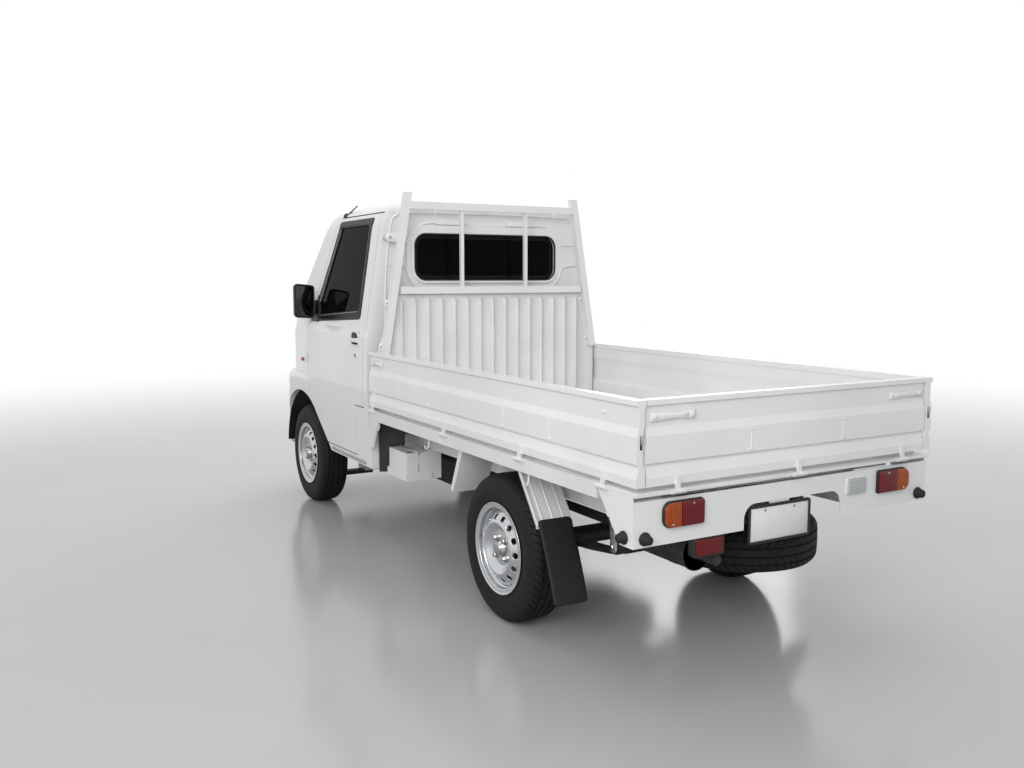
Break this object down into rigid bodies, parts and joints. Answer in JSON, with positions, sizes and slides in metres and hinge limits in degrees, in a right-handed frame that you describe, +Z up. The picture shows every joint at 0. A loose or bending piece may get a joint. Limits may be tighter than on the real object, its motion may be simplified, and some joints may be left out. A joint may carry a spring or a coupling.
{
  "type": "kei truck",
  "caption": "Small forward-cab pickup truck with a drop-side cargo bed, hinged doors and gates, a guard frame behind the cab, steered front wheels and a spare under the tail.",
  "frame": {"origin": "on the ground at the middle of the overall length and width", "axes": "+Z up, -Y towards the front of the truck, +X towards the vehicle's left"},
  "size_m": [1.592, 3.8985, 1.784],
  "materials": {
    "white_paint": "glossy white body paint",
    "black_paint": "satin black chassis paint",
    "steel": "silver painted wheel steel",
    "plate": "white painted aluminium sheet, blank",
    "cast": "raw cast metal",
    "black_plastic": "grained black plastic",
    "grey_plastic": "grained grey plastic",
    "tyre": "rubber",
    "rubber": "moulded rubber",
    "glass": "dark tinted glass",
    "red_lens": "red lamp lens",
    "clear_lens": "clear lamp lens",
    "fabric": "woven grey seat cover"
  },
  "bodies": {
    "chassis": {"battery": "black_plastic", "bed_floor": "white_paint", "bed_front_wall": "white_paint", "buffers": "rubber", "cab_floor": "white_paint", "cab_front": "white_paint", "cab_rear_wall": "white_paint", "cab_roof": "white_paint", "cab_side_left": "white_paint", "cab_side_right": "white_paint", "chassis_rails": "white_paint", "cross_members": "white_paint", "dashboard": "grey_plastic", "engine": "cast", "front_arms": "black_paint", "front_bumper": "white_paint", "front_struts": "black_paint", "fuel_tank": "black_paint", "grille": "black_plastic", "guard_frame": "white_paint", "headlamps": "clear_lens", "leaf_springs": "black_paint", "mud_flaps": "rubber", "muffler": "black_paint", "number_plate": "plate", "prop_shaft": "black_paint", "rear_axle": "black_paint", "rear_lamps": "red_lens", "rear_panel": "white_paint", "rear_window": "glass", "seat_backs": "fabric", "seat_cushions": "fabric", "spare_carrier": "black_paint", "spare_rim": "steel", "spare_tyre": "tyre", "splash_guards": "black_plastic", "steering_wheel": "black_plastic", "windscreen": "glass"},
    "door_left": {"door_glass_left": "glass", "door_handle_left": "white_paint", "door_left": "white_paint", "mirror_left": "black_plastic"},
    "door_right": {"door_glass_right": "glass", "door_handle_right": "white_paint", "door_right": "white_paint", "mirror_right": "black_plastic"},
    "gate_left": {"gate_left": "white_paint"},
    "gate_right": {"gate_right": "white_paint"},
    "tailgate": {"tailgate": "white_paint"},
    "knuckle_left": {"knuckle_left": "black_paint"},
    "knuckle_right": {"knuckle_right": "black_paint"},
    "wheel_front_left": {"rim_front_left": "steel", "tyre_front_left": "tyre"},
    "wheel_front_right": {"rim_front_right": "steel", "tyre_front_right": "tyre"},
    "wheel_rear_left": {"rim_rear_left": "steel", "tyre_rear_left": "tyre"},
    "wheel_rear_right": {"rim_rear_right": "steel", "tyre_rear_right": "tyre"}
  },
  "joints": [
    {"name": "door_left_hinge", "type": "hinge", "parent": "chassis", "child": "door_left", "pos_m": [0.6868, -1.2535, 0.8], "axis": [0, 0, -1], "range_deg": [0, 70]},
    {"name": "door_right_hinge", "type": "hinge", "parent": "chassis", "child": "door_right", "pos_m": [-0.6868, -1.2535, 0.8], "axis": [0, 0, 1], "range_deg": [0, 70]},
    {"name": "gate_left_hinge", "type": "hinge", "parent": "chassis", "child": "gate_left", "pos_m": [0.6975, 0.8, 0.701], "axis": [0, 1, 0], "range_deg": [0, 175]},
    {"name": "gate_right_hinge", "type": "hinge", "parent": "chassis", "child": "gate_right", "pos_m": [-0.6975, 0.8, 0.701], "axis": [0, -1, 0], "range_deg": [0, 175]},
    {"name": "tailgate_hinge", "type": "hinge", "parent": "chassis", "child": "tailgate", "pos_m": [0, 1.941, 0.701], "axis": [-1, 0, 0], "range_deg": [0, 175]},
    {"name": "steer_left", "type": "hinge", "parent": "chassis", "child": "knuckle_left", "pos_m": [0.448, -1.4, 0.296], "axis": [0, 0, 1], "range_deg": [-33, 33]},
    {"name": "steer_right", "type": "hinge", "parent": "chassis", "child": "knuckle_right", "pos_m": [-0.448, -1.4, 0.296], "axis": [0, 0, 1], "range_deg": [-33, 33]},
    {"name": "wheel_front_left_spin", "type": "hinge", "parent": "knuckle_left", "child": "wheel_front_left", "pos_m": [0.57, -1.4, 0.296], "axis": [1, 0, 0], "continuous": true},
    {"name": "wheel_front_right_spin", "type": "hinge", "parent": "knuckle_right", "child": "wheel_front_right", "pos_m": [-0.57, -1.4, 0.296], "axis": [1, 0, 0], "continuous": true},
    {"name": "wheel_rear_left_spin", "type": "hinge", "parent": "chassis", "child": "wheel_rear_left", "pos_m": [0.57, 0.992, 0.296], "axis": [1, 0, 0], "continuous": true},
    {"name": "wheel_rear_right_spin", "type": "hinge", "parent": "chassis", "child": "wheel_rear_right", "pos_m": [-0.57, 0.992, 0.296], "axis": [1, 0, 0], "continuous": true}
  ],
  "couplings": [
    {"joint": "steer_right", "follows": "steer_left", "ratio": 1}
  ]
}
